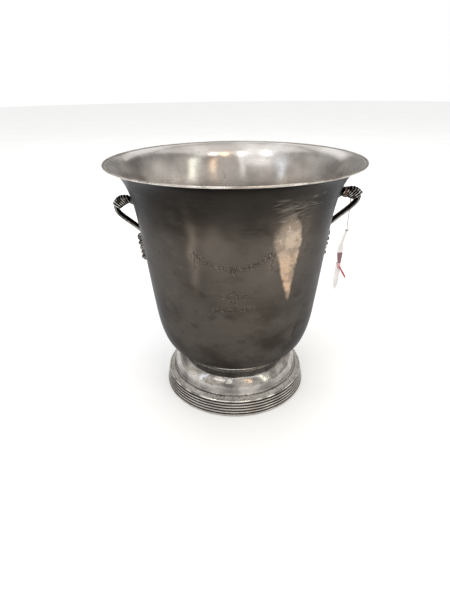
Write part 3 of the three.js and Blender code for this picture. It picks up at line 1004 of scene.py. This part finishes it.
def melted(piece, voxel, softening):
    """The piece's overlapping shells as one softened surface, as metal is cast."""
    remesh = piece.modifiers.new("remesh", "REMESH")
    remesh.mode = "VOXEL"
    remesh.voxel_size = voxel * MM
    bpy.context.view_layer.update()
    graph = bpy.context.evaluated_depsgraph_get()
    fused = bpy.data.meshes.new_from_object(piece.evaluated_get(graph))
    piece.modifiers.clear()
    piece.data = fused
    fused.shade_smooth()
    points, edges = places(piece), read(fused.edges, "vertices", 2, int)
    for _ in range(softening):
        points = 0.5 * points + 0.5 * neighbour_mean(points, edges)
    set_places(piece, points)
    return edges


def mark_relief(piece, edges, depth):
    """Painted shade in hollows (the "recess" layer) and painted highlights on worn crests: hollows and
    crests about depth millimetres off a smoothed skin.
    """
    points = places(piece)
    smooth = points
    for _ in range(10):
        smooth = neighbour_mean(smooth, edges)
    hollow = ((smooth - points) * normals(piece)).sum(1)
    # Painted shade, with tarnish, in the hollows.
    add_layer(piece, "recess", step_between(hollow, -0.5 * depth, 0.4 * depth))
    # Painted highlights on worn crests.
    worn = step_between(ripple(points, 5, 61), -0.7, 0.8)
    add_layer(piece, "highlight_and_wear", 0.85 * worn * step_between(-hollow, 0.8 * depth, 1.8 * depth))


def tuck_in(piece):
    """Points inside the bowl's wall are kept within the thickness of the sheet."""
    points = places(piece)
    away = radius_of(points)
    least = wall_radius(points[:, 2]) - 0.6
    points[:, :2] *= np.maximum(1, least / away)[:, None]
    set_places(piece, points)


def make_cast_pieces():
    black, tint = (0.005, 0.0042, 0.0038), (0.35, 0.35, 0.36, 1)
    dark = polished_silver("cast_silver", (0.042, 0.037, 0.034), (0.15, 0.138, 0.128), 0.16, black, tint)
    bright = polished_silver("drop_silver", (0.045, 0.041, 0.038), (0.24, 0.228, 0.215), 0.14, black, tint)
    for side, (turn, reach_scale, rise) in HANDLE_STANCES.items():
        handle = piece_from(f"strap_handle_{side}", lambda bm: add_bent_handle(bm, reach_scale, rise))
        mark_relief(handle, melted(handle, 0.32, 2), 0.11)
        chain = piece_from(f"bead_chain_{side}", add_drop)
        mark_relief(chain, melted(chain, 0.26, 2), 0.07)
        for piece, node, metal in ((handle, "handle", dark), (chain, "bead_drop", bright)):
            tuck_in(piece)
            piece.data.transform(Matrix.Rotation(turn, 4, "Z"))
            finish_piece(piece, "bucket", "dark_silver", [metal], f"{node}_{side}")


# ---- swing ticket ----


def make_thread():
    """The hanging thread, from the handle down to the tip of the card."""
    line = smooth_line([
        (TICKET_X, TICKET_Y, THREAD_TOP), (TICKET_X + 0.2, TICKET_Y, 190),
        (TICKET_X - 0.2, TICKET_Y, 178), (TICKET_X, TICKET_Y, CARD_TIP + 0.3),
    ], 24) * MM
    data = bpy.data.curves.new("ticket_string", "CURVE")
    data.dimensions = "3D"
    data.bevel_depth = THREAD_RADIUS * MM
    data.bevel_resolution = 3
    data.use_fill_caps = True
    spline = data.splines.new("POLY")
    spline.points.add(len(line) - 1)
    for spot, place in zip(spline.points, line):
        spot.co = (*place, 1)
    thread = linked("ticket_string", data)
    grey = twisted_thread("grey_thread", (0.66, 0.61, 0.59), (0.38, 0.34, 0.33))
    finish_piece(thread, "ticket", "thread", [grey], "ticket_thread")
    return thread, line[0], float(step_lengths(line).sum())


def add_tube(bm, line, radius, sides=8):
    along = directions_along(line)
    rows = []
    first = np.cross(along[0], (0.3, 0.2, 1))
    for here, way in zip(line, along):
        first = first - way * (first @ way)
        first /= np.linalg.norm(first)
        second = np.cross(way, first)
        turn = np.radians(np.arange(sides) * 360 / sides)[:, None]
        rows.append(here + radius * (np.cos(turn) * first + np.sin(turn) * second))
    add_grid(bm, np.array(rows), round_columns=True, capped=True)


def make_tie(handle):
    """The end of the thread wound round the handle, from which the ticket hangs."""
    tree = BVHTree.FromObject(handle, bpy.context.evaluated_depsgraph_get())
    line = []
    ray_start, proud, if_missed = 10.5, 0.35, 6
    for t in np.linspace(0, TIE_TURNS, 150):
        centre = np.array([TIE_START[0] + 0.85 * t, 0, TIE_START[1]])
        angle = 2 * math.pi * t - 0.5
        ray = np.array([0, math.cos(angle), math.sin(angle)])
        hit = tree.ray_cast(Vector((centre + ray_start * ray) * MM), Vector(-ray))[0]
        surface = np.linalg.norm(np.array(hit) / MM - centre) if hit else if_missed
        line.append(centre + (surface + proud) * ray)
    line = np.array(line)
    for _ in range(2):
        line[1:-1] = (line[:-2] + 2 * line[1:-1] + line[2:]) / 4
    t = np.linspace(0.1, 1, 12)[:, None]
    away = np.array([TICKET_X, TICKET_Y, THREAD_TOP]) - line[-1]
    tail = line[-1] + away * t + np.array([0, 0.8, 0]) * np.sin(math.pi * t)
    line = np.vstack([line, tail])
    tie = piece_from("ticket_tie", lambda bm: add_tube(bm, line, THREAD_RADIUS))
    red = twisted_thread("red_thread", (0.21, 0.092, 0.068), (0.11, 0.048, 0.036))
    finish_piece(tie, "bucket", "thread", [red])


def make_knot():
    """Two turns of the thread round the tip of the card."""
    t = np.linspace(0, 1, 50)
    angle = 2 * math.pi * 2.3 * t
    line = np.stack([
        TICKET_X - 0.1 + 1.5 * np.sin(angle), TICKET_Y + 0.65 * np.cos(angle), CARD_TIP - 1.3 + 1.6 * t,
    ], 1)
    knot = piece_from("ticket_knot", lambda bm: add_tube(bm, line, THREAD_RADIUS * 0.8))
    return finish_piece(knot, "ticket", "thread", [bpy.data.materials["grey_thread"]])


def eased(heights, corners):
    """The corners' values at the heights, with the corners rounded."""
    corners = sorted(corners)
    values = np.interp(heights, [h for h, _ in corners], [v for _, v in corners])
    padded = np.pad(values, 3, mode="reflect", reflect_type="odd")
    return np.convolve(padded, np.ones(7) / 7, mode="valid")


def paper_leaf(name, low, high, left, right, middle, thickness=0.28, bow=0.35, rows=70):
    """A thin curled sheet facing -Y. left and right are (height, distance from the thread) corners."""
    heights = np.linspace(low, high, rows)
    sheet = []
    for z, start, end in zip(heights, eased(heights, left), eased(heights, right)):
        across = np.linspace(start, end, 11)
        curl = bow * (np.cos((across - (start + end) / 2) / 2.4) - 0.5) + 0.25 * np.sin(z / 8)
        sheet.append(np.stack([TICKET_X + across, middle + curl, np.full_like(across, z)], 1))
    back = np.array(sheet)
    front = back - np.array([0, thickness, 0])
    loop = np.concatenate([back, front[:, ::-1]], 1)
    return piece_from(name, lambda bm: add_grid(bm, loop, round_columns=True, capped=True), sharp=50)


def make_card():
    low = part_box("ticket_card")[0].z / MM
    card = paper_leaf(
        "ticket_leaf", low, CARD_TIP,
        [(low, -4.6), (129.5, -6), (141, -7.6), (147.5, -7.8), (154, -5.4), (CARD_TIP, -1.2)],
        [(low, -3.2), (129.5, -3), (142, -2), (154, -2.2), (CARD_TIP, 1)],
        TICKET_Y,
    )
    paper = card_paper("ticket_paper", 0.1435, 0.1310)
    return finish_piece(card, "ticket", "white_paper", [paper], "ticket_card")


def make_stub():
    low, high = (corner.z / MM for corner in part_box("ticket_stub"))
    stub = paper_leaf(
        "ticket_tail", low, high,
        [(low, -6.7), (low + 1.4, -7.6), (114, -8.6), (high, -7.2)],
        [(low, -5.9), (low + 2, -4.7), (107, -3.4), (118, -2.4), (high, -2.4)],
        TICKET_Y + CARD_THICKNESS + 0.3,
    )
    paper = card_paper("stub_paper", None, None)
    finish_piece(stub, "ticket", "white_paper", [paper], "ticket_stub")


def make_ribbon():
    """A narrow red strip in front of the foot of the card, leaning outwards."""
    low, high = (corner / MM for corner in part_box("ticket_ribbon"))
    count = 26
    line = np.stack([
        np.linspace(low.x + 1.0, high.x - 1.0, count),
        np.full(count, (low.y + high.y) / 2),
        np.linspace(high.z - 0.6, low.z + 0.6, count),
    ], 1)
    lean = math.atan2(high.x - low.x - 2, high.z - low.z - 1.2)
    sideways = np.array([math.cos(lean), 0, math.sin(lean)])
    rows = []
    for number, here in enumerate(line):
        half = 0.92 - 0.12 * math.sin(number / 3)
        depth = 0.14 + 0.10 * math.sin(number / 5)
        corners = [(-half, -0.13), (half, -0.13), (half, 0.13), (-half, 0.13)]
        rows.append([here + side * sideways + np.array([0, out + depth, 0]) for side, out in corners])
    strip = piece_from(
        "ticket_strip", lambda bm: add_grid(bm, np.array(rows), round_columns=True, capped=True), 40)
    return finish_piece(strip, "ticket", "red_paper", [red_paper()], "ticket_ribbon")


def make_ticket():
    thread, start, length = make_thread()
    on_it = [make_knot(), make_card(), make_ribbon()]
    make_stub()


# ---- studio ----


def make_floor():
    def build(bm):
        bmesh.ops.create_circle(bm, cap_ends=True, segments=96, radius=6000)

    floor = piece_from("floor", build)
    floor.data.materials.append(studio_floor())


def make_light(name, azimuth, elevation, distance, size, power, colour=(1, 1, 1)):
    """A soft box that faces the middle of the bucket."""
    data = bpy.data.lights.new(name, "AREA")
    data.shape = "RECTANGLE"
    data.size, data.size_y = size
    data.energy = power
    data.color = colour
    light = linked(name, data)
    turn, rise = math.radians(azimuth), math.radians(elevation)
    towards = Vector((math.sin(turn) * math.cos(rise), -math.cos(turn) * math.cos(rise), math.sin(rise)))
    light.location = Vector((0, 0, 0.13)) + distance * towards
    light.rotation_mode = "QUATERNION"
    light.rotation_quaternion = towards.to_track_quat("Z", "Y")
    light.visible_camera = False


def make_lights():
    make_light("overhead", 0, 88, 1.9, (2.4, 2.4), 14)
    make_light("right_window", 53, 24, 1.5, (0.22, 1.3), 1.9, (0.95, 1.0, 0.86))
    make_light("front_lamp", 24, 32, 1.6, (0.14, 0.7), 0.75, (1.0, 0.72, 0.48))
    make_light("front_window", -14, 34, 1.7, (0.16, 1.0), 0.8)
    make_light("wide_window", -37, 38, 1.7, (0.75, 0.30), 1.1)
    make_light("left_window", -66, 24, 1.5, (0.12, 1.3), 0.95, (0.74, 0.86, 1.0))
    make_light("back_fill", 180, 42, 1.8, (1.2, 0.8), 3)
    for number, (azimuth, colour) in enumerate(
        ((-56, (1, 1, 1)), (-15, (0.92, 0.96, 1)), (13, (1, 0.62, 0.32)), (30, (1, 0.95, 0.85)))
    ):
        make_light(f"small_lamp_{number}", azimuth, 60, 1.6, (0.12, 0.12), 0.8, colour)


def make_world():
    """Even white light all round; reflections show a soft uneven room, darker behind the object."""
    world = bpy.data.worlds.new("studio")
    bpy.context.scene.world = world
    world.use_nodes = True
    n = Nodes(world.node_tree)
    n.tree.nodes.clear()
    direction = n.add("ShaderNodeTexCoord", {}).outputs["Generated"]
    split = n.add("ShaderNodeSeparateXYZ", {0: direction}).outputs
    patches = n.add("ShaderNodeTexNoise", {"Vector": direction, "Scale": 2.4, "Detail": 1.5}).outputs[0]
    behind = n.ramp(split["Y"], 0.1, 0.85, 1.0, 0.55)
    strength = n.product(behind, n.ramp(patches, 0.36, 0.64, 0.68, 1.25))
    tint = n.mix(n.ramp(split["Z"], 0.0, 0.9), (0.80, 0.765, 0.72), (0.58, 0.56, 0.54))
    room = n.add("ShaderNodeBackground", {"Color": tint, "Strength": strength})
    white = n.add("ShaderNodeBackground", {"Color": (1, 1, 1, 1)})
    reflected = n.add("ShaderNodeLightPath", {}).outputs["Is Glossy Ray"]
    mix = n.add("ShaderNodeMixShader", {0: reflected, 1: white.outputs[0], 2: room.outputs[0]})
    n.add("ShaderNodeOutputWorld", {"Surface": mix.outputs[0]})


# ---- the scene ----

make_camera()
make_ticket()
make_bowl()
make_rim()
make_collar()
make_dome()
make_reeded_band()
make_stud()
make_washer()
make_nut()
make_cast_pieces()
make_tie(bpy.data.objects["strap_handle_right"])
make_floor()
make_lights()
make_world()
bpy.context.scene.view_settings.view_transform = "Standard"
